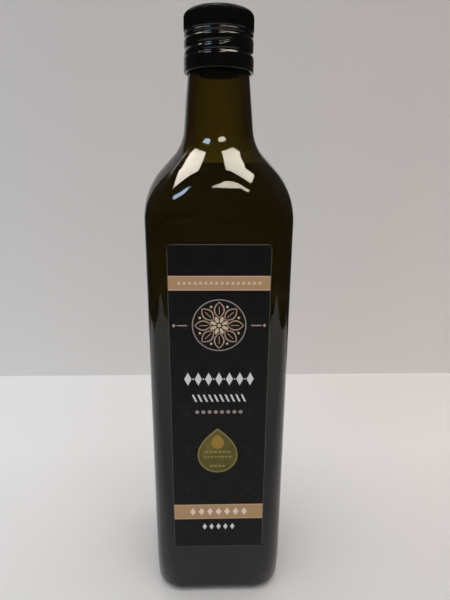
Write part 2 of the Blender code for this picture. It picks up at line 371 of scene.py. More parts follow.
def bore():
    """Points (half, z) up the bore of the neck, to the rounded inner edge of the mouth."""
    wall = [(BORE_FOOT_RADIUS, BORE_FOOT), (BORE_RADIUS, BORE_STRAIGHT)]
    return wall + arc(BORE_RADIUS + LIP_EDGE, MOUTH_TOP - LIP_EDGE, LIP_EDGE, pi, pi / 2, LIP_STEPS)


def section_rings(bm, profile, inset, seam=0.0):
    rings = []
    for half, z in profile:
        ridge = seam if HEEL_RADIUS < z < FINISH_FOOT else 0.0
        rings.append(add_ring(bm, square_ring(half, corner_at(half, z, inset), z, ridge)))
    return rings


def make_bottle():
    bm = bmesh.new()
    outside = section_rings(bm, glass_outside(), 0, SEAM_RISE)
    inside = section_rings(bm, glass_inside() + bore(), WALL)
    loft(bm, outside + inside[::-1])
    close_ring(bm, outside[0], (0, 0, PUNT_HEIGHT))
    close_ring(bm, inside[0], (0, 0, FLOOR + FLOOR_RISE))
    made = add_object("bottle_glass_wall", bm, [bottle_glass()])
    fit(made, "glass_bottle")


def level_half(profile, level):
    """How far out the inner wall is at the oil's level."""
    for (half, z), (next_half, next_z) in zip(profile, profile[1:]):
        if z <= level < next_z:
            return half + (level - z) / (next_z - z) * (next_half - half)
    return profile[-1][0]


def make_oil():
    inset = WALL - OIL_REACH
    profile = glass_inside(OIL_REACH)
    top = OIL_LEVEL + MENISCUS_RISE
    wall_half = level_half(profile, top)
    bm = bmesh.new()
    rings = section_rings(bm, [point for point in profile if point[1] < top - OIL_REACH], inset)
    corner = corner_at(wall_half, top, inset)
    for inward in MENISCUS_STEPS:
        z = OIL_LEVEL + MENISCUS_RISE * exp(-inward / MENISCUS_WIDTH)
        rings.append(add_ring(bm, square_ring(wall_half - inward, corner - inward, z)))
    loft(bm, rings)
    close_ring(bm, rings[0], (0, 0, FLOOR - OIL_REACH + FLOOR_RISE))
    close_ring(bm, rings[-1], (0, 0, OIL_LEVEL))
    made = add_object("oil_fill", bm, [green_gold_oil()])
    fit(made, "olive_oil")


# Cap

def dip(distance, half_width):
    """A smooth groove of depth 1 over twice the half width."""
    return exp(-((distance / half_width) ** 2) * GROOVE_SHARPNESS)


def thread_dip(angle, z):
    """How deep the thread's valley is. It climbs to the right, and its upper end tapers to a wedge."""
    depth = 0.0
    back = (THREAD_START - angle) % (2 * pi)
    for turn in range(ceil(THREAD_TURNS)):
        along = (back + 2 * pi * turn) / (2 * pi)
        lead = min(1, along / LEAD_TURN)
        fade = min(1, max(0, (THREAD_TURNS - along) / THREAD_FADE))
        centre = THREAD_TOP - THREAD_PITCH * along + LEAD_CLIMB * (1 - lead)
        half = THREAD_HALF * (LEAD_WIDTH + (1 - LEAD_WIDTH) * lead)
        depth = max(depth, lead * fade * dip(z - centre, half))
    return THREAD_DEPTH * depth


def skirt_radius(z, angle):
    """The cap's skirt: the full crest with its pressed grooves, and the fuller lower band."""
    waist = CAP_CREST - sum(depth * dip(z - ring_z, half) for ring_z, half, depth in RINGS)
    waist -= thread_dip(angle, z)
    share = min(1, max(0, (BAND_TOP - z) / BAND_SLOPE))
    off_bridge = min(1, BRIDGE_STEEPNESS * abs(sin(SCORE_BRIDGES * angle / 2)))
    score = SCORE_DEPTH * (BRIDGE_DEPTH + (1 - BRIDGE_DEPTH) * off_bridge)
    full = BAND_RADIUS - score * dip(z - SCORE_Z, SCORE_HALF)
    return waist + (full - waist) * ease(share)


def cap_ring(bm, z, radius_at):
    turns = [2 * pi * k / CAP_COUNT for k in range(CAP_COUNT)]
    return add_ring(bm, [(radius_at(a) * cos(a), radius_at(a) * sin(a), z) for a in turns])


def flute(angle):
    """1 at the bottom of a flute of the knurl, and 0 on the rib beside it."""
    return (0.5 - 0.5 * cos(FLUTES * angle)) ** FLUTE_POWER


def knurl_rings(bm):
    """Rings of fine upright flutes, from the knurl's foot over the rounded edge of the top."""
    rows = []
    for k in range(KNURL_FOOT_STEPS + 1):
        share = k / KNURL_FOOT_STEPS
        rows.append((CAP_RADIUS - KNURL_FOOT * (1 - share) ** 2, KNURL_BOTTOM + KNURL_FOOT * share, share))
    foot_z = KNURL_BOTTOM + KNURL_FOOT
    straight = CAP_TOP - CAP_EDGE - foot_z
    rows += [(CAP_RADIUS, foot_z + straight * (k + 1) / KNURL_STEPS, 1.0) for k in range(KNURL_STEPS)]
    for k in range(EDGE_STEPS):
        lean = pi / 2 * (k + 1) / EDGE_STEPS
        depth = max(0, cos(lean)) ** FLUTE_FADE_POWER
        rows.append((CAP_RADIUS - CAP_EDGE * (1 - cos(lean)), CAP_TOP - CAP_EDGE * (1 - sin(lean)), depth))
    rings = []
    for radius, z, depth in rows:
        rings.append(cap_ring(bm, z, lambda a, r=radius, d=depth: r - FLUTE_DEPTH * d * flute(a)))
    return rings


def skirt_rings(bm):
    """Rings up the skirt, from the lip that is rolled in under the band to just under the knurl."""
    rings = []
    for lean in range(-90, 0, 15):
        radius = BAND_RADIUS - LIP_ROUND * (1 - cos(radians(lean)))
        z = CAP_BOTTOM + LIP_ROUND * (1 + sin(radians(lean)))
        rings.append(cap_ring(bm, z, lambda a, r=radius: r))
    low = CAP_BOTTOM + LIP_ROUND
    rows = round((KNURL_BOTTOM - low) / SKIRT_STEP)
    for row in range(rows):
        z = low + (KNURL_BOTTOM - low) * row / rows
        rings.append(cap_ring(bm, z, lambda a, z=z: skirt_radius(z, a)))
    return rings


def make_cap():
    bm = bmesh.new()
    roof_z = CAP_TOP - CAP_PANEL
    roof = cap_ring(bm, roof_z, lambda a: CAP_INNER - INNER_BEVEL)
    cheek = cap_ring(bm, roof_z - INNER_BEVEL, lambda a: CAP_INNER)
    lip = cap_ring(bm, CAP_BOTTOM, lambda a: CAP_INNER)
    knurl = knurl_rings(bm)
    loft(bm, [roof, cheek, lip, *skirt_rings(bm), *knurl])
    close_ring(bm, knurl[-1], (0, 0, CAP_TOP))
    close_ring(bm, roof, (0, 0, roof_z))
    for face in bm.faces:
        if face.calc_center_median().z > KNURL_BOTTOM:
            face.material_index = 1
    skirt = black_lacquer("black_lacquered_metal", *SKIRT_LACQUER)
    knurled = black_lacquer("black_lacquered_knurl", *KNURL_LACQUER)
    made = add_object("cap_shell", bm, [skirt, knurled])
    fit(made, "screw_cap")


# Label and seal

def paper_piece(name, outline, back_y, thickness, finishes):
    """A thin upright piece of paper, printed on its front and pale on its back and cut edge."""
    bm = bmesh.new()
    back = [bm.verts.new((x, back_y, z)) for x, z in outline]
    front = [bm.verts.new((x, back_y - thickness, z)) for x, z in outline]
    pale = [bm.faces.new(back)]
    bm.faces.new(front[::-1])
    for i in range(len(outline)):
        after = (i + 1) % len(outline)
        pale.append(bm.faces.new([back[i], front[i], front[after], back[after]]))
    for face in pale:
        face.material_index = 1
    return add_object(name, bm, finishes)


def rounded_rectangle(width, height, low_z, corner):
    points = []
    for quarter, (sx, sz) in enumerate(((1, 1), (-1, 1), (-1, -1), (1, -1))):
        for step in range(PLATE_CORNER_STEPS + 1):
            angle = (quarter + step / PLATE_CORNER_STEPS) * pi / 2
            x = sx * (width / 2 - corner) + corner * cos(angle)
            z = low_z + height / 2 + sz * (height / 2 - corner) + corner * sin(angle)
            points.append((x, z))
    return points


def drop_outline():
    """A falling drop: a round belly below its widest line, and a parabola up to its point."""
    belly = [pi + pi * k / OUTLINE_STEPS for k in range(OUTLINE_STEPS)]
    points = [(SEAL_X + SEAL_RADIUS * cos(a), SEAL_Z + SEAL_RADIUS * sin(a)) for a in belly]
    for k in range(2 * OUTLINE_STEPS):
        across = 1 - k / OUTLINE_STEPS
        points.append((SEAL_X + SEAL_RADIUS * across, SEAL_Z + SEAL_POINT * sqrt(1 - abs(across))))
    return points


def make_label_and_seal():
    outline = rounded_rectangle(LABEL_WIDTH, LABEL_HEIGHT, LABEL_BOTTOM, LABEL_CORNER)
    core = paper_core()
    back_y = -BODY_HALF - PAPER_GAP
    label = paper_piece("label_sheet", outline, back_y, LABEL_THICKNESS, [label_print(), core])
    fit(label, "front_label")
    seal_y = back_y - LABEL_THICKNESS - PAPER_GAP
    seal = paper_piece("seal_sticker", drop_outline(), seal_y, SEAL_THICKNESS, [seal_foil(), core])
    fit(seal, "drop_seal")


# Small helpers for materials

# Millimetres in a metre
MM = 1000
# How soft the edges of the print's shapes are
INK_EDGE = 0.15
SOFT_EDGE = 0.2
# What turns noise into smudges, and into fine scratches
SMUDGE_GAIN = 2.2
SMUDGE_START = -0.6
SCRATCH_STRETCH = (1.0, 1.0, 9.0)
SCRATCH_HALF = 0.004
SCRATCH_EDGE = 0.008
# The density is a little over the strongest absorption, so that no colour falls to nothing
DENSITY_MARGIN = 1.02


def tone(red, green, blue):
    """A colour as a screen shows it, from 0 to 255, turned into the shader's own scale."""
    made = []
    for value in (red, green, blue):
        share = value / 255
        made.append(share / 12.92 if share <= 0.04045 else ((share + 0.055) / 1.055) ** 2.4)
    return (*made, 1.0)


def feed(tree, socket, value):
    """Links a socket to this one, or sets it to a plain value."""
    if isinstance(value, bpy.types.NodeSocket):
        tree.links.new(value, socket)
    else:
        socket.default_value = value


def calc(tree, operation, *values, clamp=False):
    made = tree.nodes.new("ShaderNodeMath")
    made.operation = operation
    made.use_clamp = clamp
    for socket, value in zip(made.inputs, values):
        feed(tree, socket, value)
    return made.outputs[0]


def square_of(tree, value, middle):
    """The square of how far a value is from the middle."""
    gap = calc(tree, "SUBTRACT", value, middle)
    return calc(tree, "MULTIPLY", gap, gap)


def over(tree, share, under, upper):
    """One colour laid over another where the share is 1."""
    mix = tree.nodes.new("ShaderNodeMix")
    mix.data_type = "RGBA"
    feed(tree, mix.inputs[0], share)
    feed(tree, mix.inputs[6], under)
    feed(tree, mix.inputs[7], upper)
    return mix.outputs[2]


def spread(tree, value, low, high):
    """A share from 0 to 1 turned into a value from low to high."""
    return calc(tree, "ADD", calc(tree, "MULTIPLY", value, high - low), low)


def inside(tree, distance, limit, softness):
    """1 where the distance is under the limit, 0 where it is over, with a soft edge between."""
    room = calc(tree, "SUBTRACT", limit, distance)
    return calc(tree, "MULTIPLY_ADD", room, 1 / softness, 0.5, clamp=True)


def noise(tree, vector, scale, detail=2.0, roughness=0.5):
    made = tree.nodes.new("ShaderNodeTexNoise")
    feed(tree, made.inputs["Vector"], vector)
    feed(tree, made.inputs["Scale"], scale)
    made.inputs["Detail"].default_value = detail
    made.inputs["Roughness"].default_value = roughness
    return made.outputs["Fac"]


def object_place(tree):
    return tree.nodes.new("ShaderNodeTexCoord").outputs["Object"]


def fade_along(tree, axis, reach):
    """0 at the first place on an axis, 1 at the second, and even between them."""
    split = tree.nodes.new("ShaderNodeSeparateXYZ")
    tree.links.new(object_place(tree), split.inputs[0])
    start, end = reach
    return calc(tree, "DIVIDE", calc(tree, "SUBTRACT", split.outputs[axis], start), end - start, clamp=True)


def stretched(tree, vector, scale):
    made = tree.nodes.new("ShaderNodeMapping")
    feed(tree, made.inputs["Vector"], vector)
    made.inputs["Scale"].default_value = scale
    return made.outputs["Vector"]


def open_group(name, inputs, outputs):
    tree = bpy.data.node_groups.new(name, "ShaderNodeTree")
    for title, start in inputs:
        socket = tree.interface.new_socket(title, in_out="INPUT", socket_type="NodeSocketFloat")
        socket.default_value = start
    for title in outputs:
        tree.interface.new_socket(title, in_out="OUTPUT", socket_type="NodeSocketFloat")
    return tree, tree.nodes.new("NodeGroupInput").outputs, tree.nodes.new("NodeGroupOutput").inputs


def use_group(tree, name, values):
    made = tree.nodes.new("ShaderNodeGroup")
    made.node_tree = bpy.data.node_groups[name]
    for title, value in values.items():
        feed(tree, made.inputs[title], value)
    return made.outputs


def group_place_in_mm():
    """Where a point of the surface is, in millimetres across and up the bottle."""
    tree, _, given = open_group("place_in_mm", [], ["Across", "Up"])
    split = tree.nodes.new("ShaderNodeSeparateXYZ")
    tree.links.new(object_place(tree), split.inputs[0])
    feed(tree, given["Across"], calc(tree, "MULTIPLY", split.outputs["X"], MM))
    feed(tree, given["Up"], calc(tree, "MULTIPLY", split.outputs["Z"], MM))


def group_handling_marks():
    """What handling leaves on a smooth surface: smudges, fine scratches, and the surface's own ripple."""
    inputs = [("Smudge Scale", 60.0), ("Scratch Scale", 400.0), ("Ripple Scale", 40.0)]
    tree, given, out = open_group("handling_marks", inputs, ["Smudge", "Scratch", "Ripple"])
    place = object_place(tree)
    cloud = noise(tree, place, given["Smudge Scale"], 4.0, 0.6)
    feed(tree, out["Smudge"], calc(tree, "MULTIPLY_ADD", cloud, SMUDGE_GAIN, SMUDGE_START, clamp=True))
    drawn = noise(tree, stretched(tree, place, SCRATCH_STRETCH), given["Scratch Scale"], 1.0)
    line = calc(tree, "ABSOLUTE", calc(tree, "SUBTRACT", drawn, 0.5))
    feed(tree, out["Scratch"], inside(tree, line, SCRATCH_HALF, SCRATCH_EDGE))
    feed(tree, out["Ripple"], noise(tree, place, given["Ripple Scale"], 3.0))


def group_ornament_row():
    """A row of equal small ornaments. Squareness 1 makes lozenges, 2 makes ovals, and 8 makes bars."""
    inputs = [("Across", 0.0), ("Up", 0.0), ("Centre", 0.0), ("Height", 0.0), ("Pitch", 4.0),
              ("Half Length", 10.0), ("Half Width", 1.0), ("Half Height", 1.0), ("Squareness", 2.0),
              ("Slant", 0.0)]
    tree, given, out = open_group("ornament_row", inputs, ["Mask"])
    up = calc(tree, "SUBTRACT", given["Up"], given["Height"])
    along = calc(tree, "SUBTRACT", given["Across"], given["Centre"])
    leaning = calc(tree, "MULTIPLY_ADD", up, given["Slant"], along)
    cell = calc(tree, "FLOORED_MODULO", calc(tree, "ADD", leaning, given["Half Length"]), given["Pitch"])
    off = calc(tree, "ABSOLUTE", calc(tree, "SUBTRACT", cell, calc(tree, "MULTIPLY", given["Pitch"], 0.5)))
    wide = calc(tree, "POWER", calc(tree, "DIVIDE", off, given["Half Width"]), given["Squareness"])
    rise = calc(tree, "DIVIDE", calc(tree, "ABSOLUTE", up), given["Half Height"])
    tall = calc(tree, "POWER", rise, given["Squareness"])
    shape = inside(tree, calc(tree, "ADD", wide, tall), 1.0, INK_EDGE)
    row = inside(tree, calc(tree, "ABSOLUTE", leaning), given["Half Length"], 0.05)
    feed(tree, out["Mask"], calc(tree, "MULTIPLY", shape, row))


def new_material(name):
    made = bpy.data.materials.new(name)
    made.use_nodes = True
    tree = made.node_tree
    return made, tree, tree.nodes["Principled BSDF"]


def set_sockets(shader, values):
    for title, value in values.items():
        shader.inputs[title].default_value = value


def add_bump(tree, shader, height, distance):
    made = tree.nodes.new("ShaderNodeBump")
    made.inputs["Distance"].default_value = distance
    made.inputs["Strength"].default_value = 1.0
    feed(tree, made.inputs["Height"], height)
    tree.links.new(made.outputs["Normal"], shader.inputs["Normal"])


def add_absorption(tree, per_metre):
    """The body colour of a clear material, from how fast it takes out red, green and blue."""
    density = max(per_metre) * DENSITY_MARGIN
    made = tree.nodes.new("ShaderNodeVolumeAbsorption")
    made.inputs["Density"].default_value = density
    made.inputs["Color"].default_value = (*[1 - value / density for value in per_metre], 1.0)
    tree.links.new(made.outputs[0], tree.nodes["Material Output"].inputs["Volume"])


# Finishes of this bottle

# How much red, green and blue the glass and the oil take out, for each metre
GLASS_TAKES = (315.0, 366.0, 790.0)
OIL_TAKES = (42.0, 48.0, 88.0)
GLASS_TINTS = ((0.93, 0.95, 0.90, 1.0), (1.0, 1.0, 1.0, 1.0))
OIL_TINTS = ((0.96, 0.97, 0.80, 1.0), (1.0, 1.0, 0.92, 1.0))
# Low down the glass is tinted almost black, and the tint clears over these heights
CLEARING = (0.112, 0.165)
LOW_TINT = (0.006, 0.006, 0.0055, 1.0)

# The cap's lacquer: how strong and how rough its coat is, its black, and its tone where it is scratched
SKIRT_LACQUER = (0.75, 0.07, tone(7, 7, 6), tone(18, 17, 16))
KNURL_LACQUER = (0.02, 0.2, tone(13, 13, 12), tone(28, 26, 24))

SILVER = tone(223, 222, 222)
CREAM = tone(238, 220, 205)
TAN = tone(184, 147, 109)
TAN_LIGHT = tone(213, 191, 166)
ROSE_TAN = tone(186, 156, 134)
DULL_BRONZE = tone(156, 145, 142)
INK_BLACK = tone(6, 6, 6)
INK_RELIEF = tone(19, 19, 18)
EDGE_GREY = tone(78, 76, 66)


def bottle_glass():
    made, tree, shader = new_material("dark_olive_glass")
    marks = use_group(tree, "handling_marks", {"Smudge Scale": 45.0, "Ripple Scale": 28.0})
    set_sockets(shader, {"IOR": 1.52, "Transmission Weight": 1.0, "Metallic": 0.0})
    tint = over(tree, marks["Ripple"], *GLASS_TINTS)
    tint = over(tree, fade_along(tree, "Z", CLEARING), LOW_TINT, tint)
    feed(tree, shader.inputs["Base Color"], tint)
    feed(tree, shader.inputs["Roughness"], spread(tree, marks["Smudge"], 0.0, 0.006))
    add_bump(tree, shader, marks["Ripple"], 0.0004)
    add_absorption(tree, GLASS_TAKES)
    return made


def green_gold_oil():
    made, tree, shader = new_material("green_gold_oil")
    set_sockets(shader, {"IOR": 1.47, "Transmission Weight": 1.0, "Roughness": 0.0})
    cloud = noise(tree, object_place(tree), 25.0)
    feed(tree, shader.inputs["Base Color"], over(tree, cloud, *OIL_TINTS))
    add_absorption(tree, OIL_TAKES)
    return made


def black_lacquer(name, coat, coat_roughness, black, rubbed):
    """The cap's lacquer: glossy on the pressed skirt, and duller on the knurl that hands rub."""
    made, tree, shader = new_material(name)
    values = {"Smudge Scale": 160.0, "Scratch Scale": 260.0, "Ripple Scale": 330.0}
    marks = use_group(tree, "handling_marks", values)
    set_sockets(shader, {"Specular IOR Level": 0.05, "Coat Weight": coat, "Coat Roughness": coat_roughness})
    worn = over(tree, marks["Scratch"], black, rubbed)
    feed(tree, shader.inputs["Base Color"], worn)
    feed(tree, shader.inputs["Roughness"], spread(tree, marks["Smudge"], 0.14, 0.24))
    add_bump(tree, shader, marks["Ripple"], 0.00006)
    return made


def paper_core():
    made, tree, shader = new_material("pale_paper_edge")
    fibres = noise(tree, object_place(tree), 2500.0, 3.0)
    feed(tree, shader.inputs["Base Color"], over(tree, fibres, tone(150, 146, 132), tone(196, 190, 174)))
    shader.inputs["Roughness"].default_value = 0.8
    return made


# The damask's repeat, in millimetres, its waves, and the height of its scrolls and its buds
DAMASK_REPEAT = (15.4, 22.0)
DAMASK_WAVES = ((1.0, 1, 1), (0.55, 2, 3), (0.4, 3, 5), (0.3, 5, 3))
SCROLL_HEIGHT = 0.35
SCROLL_HALF = 0.14
BUD_HEIGHT = 0.95


def damask(tree, across, up):
    """A faint traditional damask of mirrored scrolls and buds."""
    wide, tall = DAMASK_REPEAT
    u = calc(tree, "MULTIPLY", across, 2 * pi / wide)
    v = calc(tree, "MULTIPLY", up, 2 * pi / tall)
    total = 0.0
    for share, fold_u, fold_v in DAMASK_WAVES:
        wave_u = calc(tree, "COSINE", calc(tree, "MULTIPLY", u, fold_u))
        wave_v = calc(tree, "COSINE", calc(tree, "MULTIPLY", v, fold_v))
        both = calc(tree, "MULTIPLY", wave_u, wave_v)
        total = calc(tree, "MULTIPLY_ADD", both, share, total)
    off_scroll = calc(tree, "ABSOLUTE", calc(tree, "SUBTRACT", total, SCROLL_HEIGHT))
    scroll = inside(tree, off_scroll, SCROLL_HALF, 0.1)
    bud = calc(tree, "SUBTRACT", 1.0, inside(tree, total, BUD_HEIGHT, INK_EDGE))
    return calc(tree, "MAXIMUM", scroll, bud)


def petal(tree, along, off, middle, reach, width):
    """How far outside a pointed petal's edge a point lies, in millimetres."""
    share = calc(tree, "DIVIDE", calc(tree, "SUBTRACT", along, middle), reach)
    edge = calc(tree, "SUBTRACT", 1.0, calc(tree, "MULTIPLY", share, share))
    return calc(tree, "SUBTRACT", off, calc(tree, "MULTIPLY", edge, width))


def fold_round(tree, dx, dz, start):
    """Along and off the nearest of eight spokes, the first of them at the start angle."""
    radius = calc(tree, "SQRT", calc(tree, "MULTIPLY_ADD", dx, dx, calc(tree, "MULTIPLY", dz, dz)))
    angle = calc(tree, "ARCTAN2", dz, dx)
    turned = calc(tree, "FLOORED_MODULO", calc(tree, "ADD", angle, start + pi / 8), pi / 4)
    from_spoke = calc(tree, "SUBTRACT", turned, pi / 8)
    along = calc(tree, "MULTIPLY", radius, calc(tree, "COSINE", from_spoke))
    off = calc(tree, "ABSOLUTE", calc(tree, "MULTIPLY", radius, calc(tree, "SINE", from_spoke)))
    return radius, along, off


# The rosette, in millimetres. A petal is given by its middle, its half length and its half width.
ROSETTE_UP = 154.6
PETAL = (7.4, 3.7, 2.2)
SMALL_PETAL = (2.9, 1.7, 0.8)
PETAL_LINE = 0.3
PETALS_REACH = 11.3
VEIN_MIDDLE = 7.2
VEIN_HALF = 1.9
VEIN_LINE = 0.16
RING_RADIUS = 12.2
RING_LINE = 0.25
BEAD_OUT = 9.6
BEAD_RADIUS = 0.55
HEART_RADIUS = 0.8


def rosette(tree, across, up):
    """An eight-petalled tile rosette in a ring. Gives the masks of its petals, its ring and its heart."""
    dz = calc(tree, "SUBTRACT", up, ROSETTE_UP)
    radius, along, off = fold_round(tree, across, dz, 0.0)
    off_petal = calc(tree, "ABSOLUTE", petal(tree, along, off, *PETAL))
    outline = inside(tree, off_petal, PETAL_LINE, INK_EDGE)
    outline = calc(tree, "MULTIPLY", outline, inside(tree, radius, PETALS_REACH, SOFT_EDGE))
    off_ring = calc(tree, "ABSOLUTE", calc(tree, "SUBTRACT", radius, RING_RADIUS))
    ring = inside(tree, off_ring, RING_LINE, INK_EDGE)
    vein_reach = calc(tree, "ABSOLUTE", calc(tree, "SUBTRACT", along, VEIN_MIDDLE))
    vein_length = inside(tree, vein_reach, VEIN_HALF, SOFT_EDGE)
    vein = calc(tree, "MULTIPLY", inside(tree, off, VEIN_LINE, INK_EDGE), vein_length)
    petals = calc(tree, "MAXIMUM", outline, vein)
    _, along, off = fold_round(tree, across, dz, pi / 8)
    small = inside(tree, petal(tree, along, off, *SMALL_PETAL), 0.0, INK_EDGE)
    apart = calc(tree, "SQRT", calc(tree, "MULTIPLY_ADD", off, off, square_of(tree, along, BEAD_OUT)))
    bead = inside(tree, apart, BEAD_RADIUS, INK_EDGE)
    button = inside(tree, radius, HEART_RADIUS, INK_EDGE)
    heart = calc(tree, "MAXIMUM", calc(tree, "MAXIMUM", small, bead), button)
    return petals, ring, heart


# Heights of the main row and the two bands, and half the bands' heights, in millimetres
MAIN_ROW = 127.9
UPPER_BAND = 174.45
LOWER_BAND = 52.9
BANDS = ((UPPER_BAND, 3.35), (LOWER_BAND, 4.45))
# A pale rule runs this far inside each edge of a band
RULE_IN = 0.3
RULE_HALF = 0.14
BORDER_WIDTH = 0.3
FIBRE_SHARE = 0.004
# Colour, centre, height, pitch, half length, half width, half height, squareness and slant of each row. The
# lengths are in millimetres.
LABEL_ROWS = (
    (ROSE_TAN, 17.0, ROSETTE_UP, 5.0, 2.5, 2.4, 0.25, 8.0, 0.0),
    (ROSE_TAN, -17.0, ROSETTE_UP, 5.0, 2.5, 2.4, 0.25, 8.0, 0.0),
    (ROSE_TAN, 20.7, ROSETTE_UP, 1.8, 0.9, 0.8, 0.9, 1.0, 0.0),
    (ROSE_TAN, -20.7, ROSETTE_UP, 1.8, 0.9, 0.8, 0.9, 1.0, 0.0),
    (SILVER, 0.0, MAIN_ROW, 4.9, 17.15, 1.7, 3.3, 1.0, 0.0),
    (SILVER, 0.0, MAIN_ROW, 4.9, 14.7, 0.36, 0.36, 2.0, 0.0),
    (SILVER, 0.0, 117.9, 2.6, 13.0, 0.47, 1.9, 8.0, 0.45),
    (DULL_BRONZE, 0.0, 110.5, 3.0, 12.0, 0.95, 0.95, 2.0, 0.0),
    (SILVER, 0.0, 43.6, 3.6, 9.0, 1.15, 1.9, 1.0, 0.0),
)
BAND_ROWS = (
    (TAN_LIGHT, 0.0, UPPER_BAND, 2.4, 19.2, 0.75, 0.75, 2.0, 0.0),
    (CREAM, 0.0, LOWER_BAND, 4.4, 15.4, 1.5, 2.3, 1.0, 0.0),
)


def print_row(tree, colour, across, up, row):
    ink, *sizes = row
    titles = ("Centre", "Height", "Pitch", "Half Length", "Half Width", "Half Height", "Squareness", "Slant")
    values = {"Across": across, "Up": up, **dict(zip(titles, sizes))}
    return over(tree, use_group(tree, "ornament_row", values)["Mask"], colour, ink)


def label_border(tree, across, up):
    """The thin pale line where the label is cut."""
    half_width = LABEL_WIDTH * MM / 2
    half_height = LABEL_HEIGHT * MM / 2
    middle = LABEL_BOTTOM * MM + half_height
    side = calc(tree, "SUBTRACT", calc(tree, "ABSOLUTE", across), half_width)
    end = calc(tree, "SUBTRACT", calc(tree, "ABSOLUTE", calc(tree, "SUBTRACT", up, middle)), half_height)
    field = inside(tree, calc(tree, "MAXIMUM", side, end), -BORDER_WIDTH, INK_EDGE)
    return calc(tree, "SUBTRACT", 1.0, field)


def label_print():
    made, tree, shader = new_material("black_label_print")
    place = use_group(tree, "place_in_mm", {})
    across, up = place["Across"], place["Up"]
    pattern = damask(tree, across, up)
    colour = over(tree, pattern, INK_BLACK, INK_RELIEF)
    for height, half in BANDS:
        off = calc(tree, "ABSOLUTE", calc(tree, "SUBTRACT", up, height))
        colour = over(tree, inside(tree, off, half, INK_EDGE), colour, TAN)
        rule = calc(tree, "ABSOLUTE", calc(tree, "SUBTRACT", off, half - RULE_IN))
        colour = over(tree, inside(tree, rule, RULE_HALF, INK_EDGE), colour, TAN_LIGHT)
    for row in LABEL_ROWS + BAND_ROWS:
        colour = print_row(tree, colour, across, up, row)
    petals, ring, heart = rosette(tree, across, up)
    colour = over(tree, petals, over(tree, ring, colour, DULL_BRONZE), ROSE_TAN)
    colour = over(tree, heart, colour, TAN_LIGHT)
    colour = over(tree, label_border(tree, across, up), colour, EDGE_GREY)
    fibres = noise(tree, object_place(tree), 1800.0, 3.0)
    colour = over(tree, calc(tree, "MULTIPLY", fibres, FIBRE_SHARE), colour, CREAM)
    feed(tree, shader.inputs["Base Color"], colour)
    shader.inputs["Specular IOR Level"].default_value = 0.22
    feed(tree, shader.inputs["Roughness"], spread(tree, pattern, 0.48, 0.4))
    add_bump(tree, shader, calc(tree, "MULTIPLY_ADD", pattern, 0.5, fibres), 0.00001)
    return made


# Inner drops shrink towards a place this far above the belly's middle, in millimetres
DROP_LIFT = 1.2
# The least share of the belly's width that is left near the point, so that nothing is divided by 0
LEAST_ROOM = 0.001


def drop_measure(tree, across, up, size):
    """Under 1 inside a drop that is this share of the seal's own size."""
    middle = SEAL_Z * MM + DROP_LIFT
    dx = calc(tree, "DIVIDE", calc(tree, "SUBTRACT", across, SEAL_X * MM), size)
    dz = calc(tree, "ADD", calc(tree, "DIVIDE", calc(tree, "SUBTRACT", up, middle), size), DROP_LIFT)
    apart = calc(tree, "SQRT", calc(tree, "MULTIPLY_ADD", dx, dx, calc(tree, "MULTIPLY", dz, dz)))
    belly = calc(tree, "DIVIDE", apart, SEAL_RADIUS * MM)
    climb = calc(tree, "DIVIDE", dz, SEAL_POINT * MM)
    narrowing = calc(tree, "SUBTRACT", 1.0, calc(tree, "MULTIPLY", climb, climb))
    room = calc(tree, "MAXIMUM", narrowing, LEAST_ROOM)
    point = calc(tree, "DIVIDE", calc(tree, "ABSOLUTE", dx), calc(tree, "MULTIPLY", room, SEAL_RADIUS * MM))
    upper = calc(tree, "GREATER_THAN", dz, 0.0)
    gap = calc(tree, "SUBTRACT", point, belly)
    return calc(tree, "MULTIPLY_ADD", upper, gap, belly)


SEAL_GOLD = tone(117, 104, 42)
SEAL_SHADE = tone(87, 78, 29)
SEAL_PALE = tone(160, 150, 88)
SEAL_WARM = tone(163, 128, 50)
# Shares of the seal's size: inside its pale rim, at its dark line, and of the small drop near its point
SEAL_RIM = 0.93
SEAL_LINE = 0.86
SMALL_DROP = 0.32
# How far up the small drop is moved, in millimetres
SMALL_DROP_UP = 6.2
RIM_STRENGTH = 0.55
RIM_EDGE = 0.03
LINE_HALF = 0.025
LINE_EDGE = 0.02
# Rows in the same form as the label's
SEAL_ROWS = (
    (SEAL_PALE, SEAL_X * MM, 88.4, 2.2, 6.6, 0.75, 0.45, 8.0, 0.0),
    (SEAL_PALE, SEAL_X * MM, 85.6, 1.8, 7.2, 0.6, 0.35, 8.0, 0.0),
    (SEAL_SHADE, SEAL_X * MM, 83.0, 1.8, 6.3, 0.6, 0.35, 8.0, 0.0),
    (SEAL_PALE, SEAL_X * MM, 80.4, 2.0, 4.0, 0.7, 0.45, 8.0, 0.0),
)


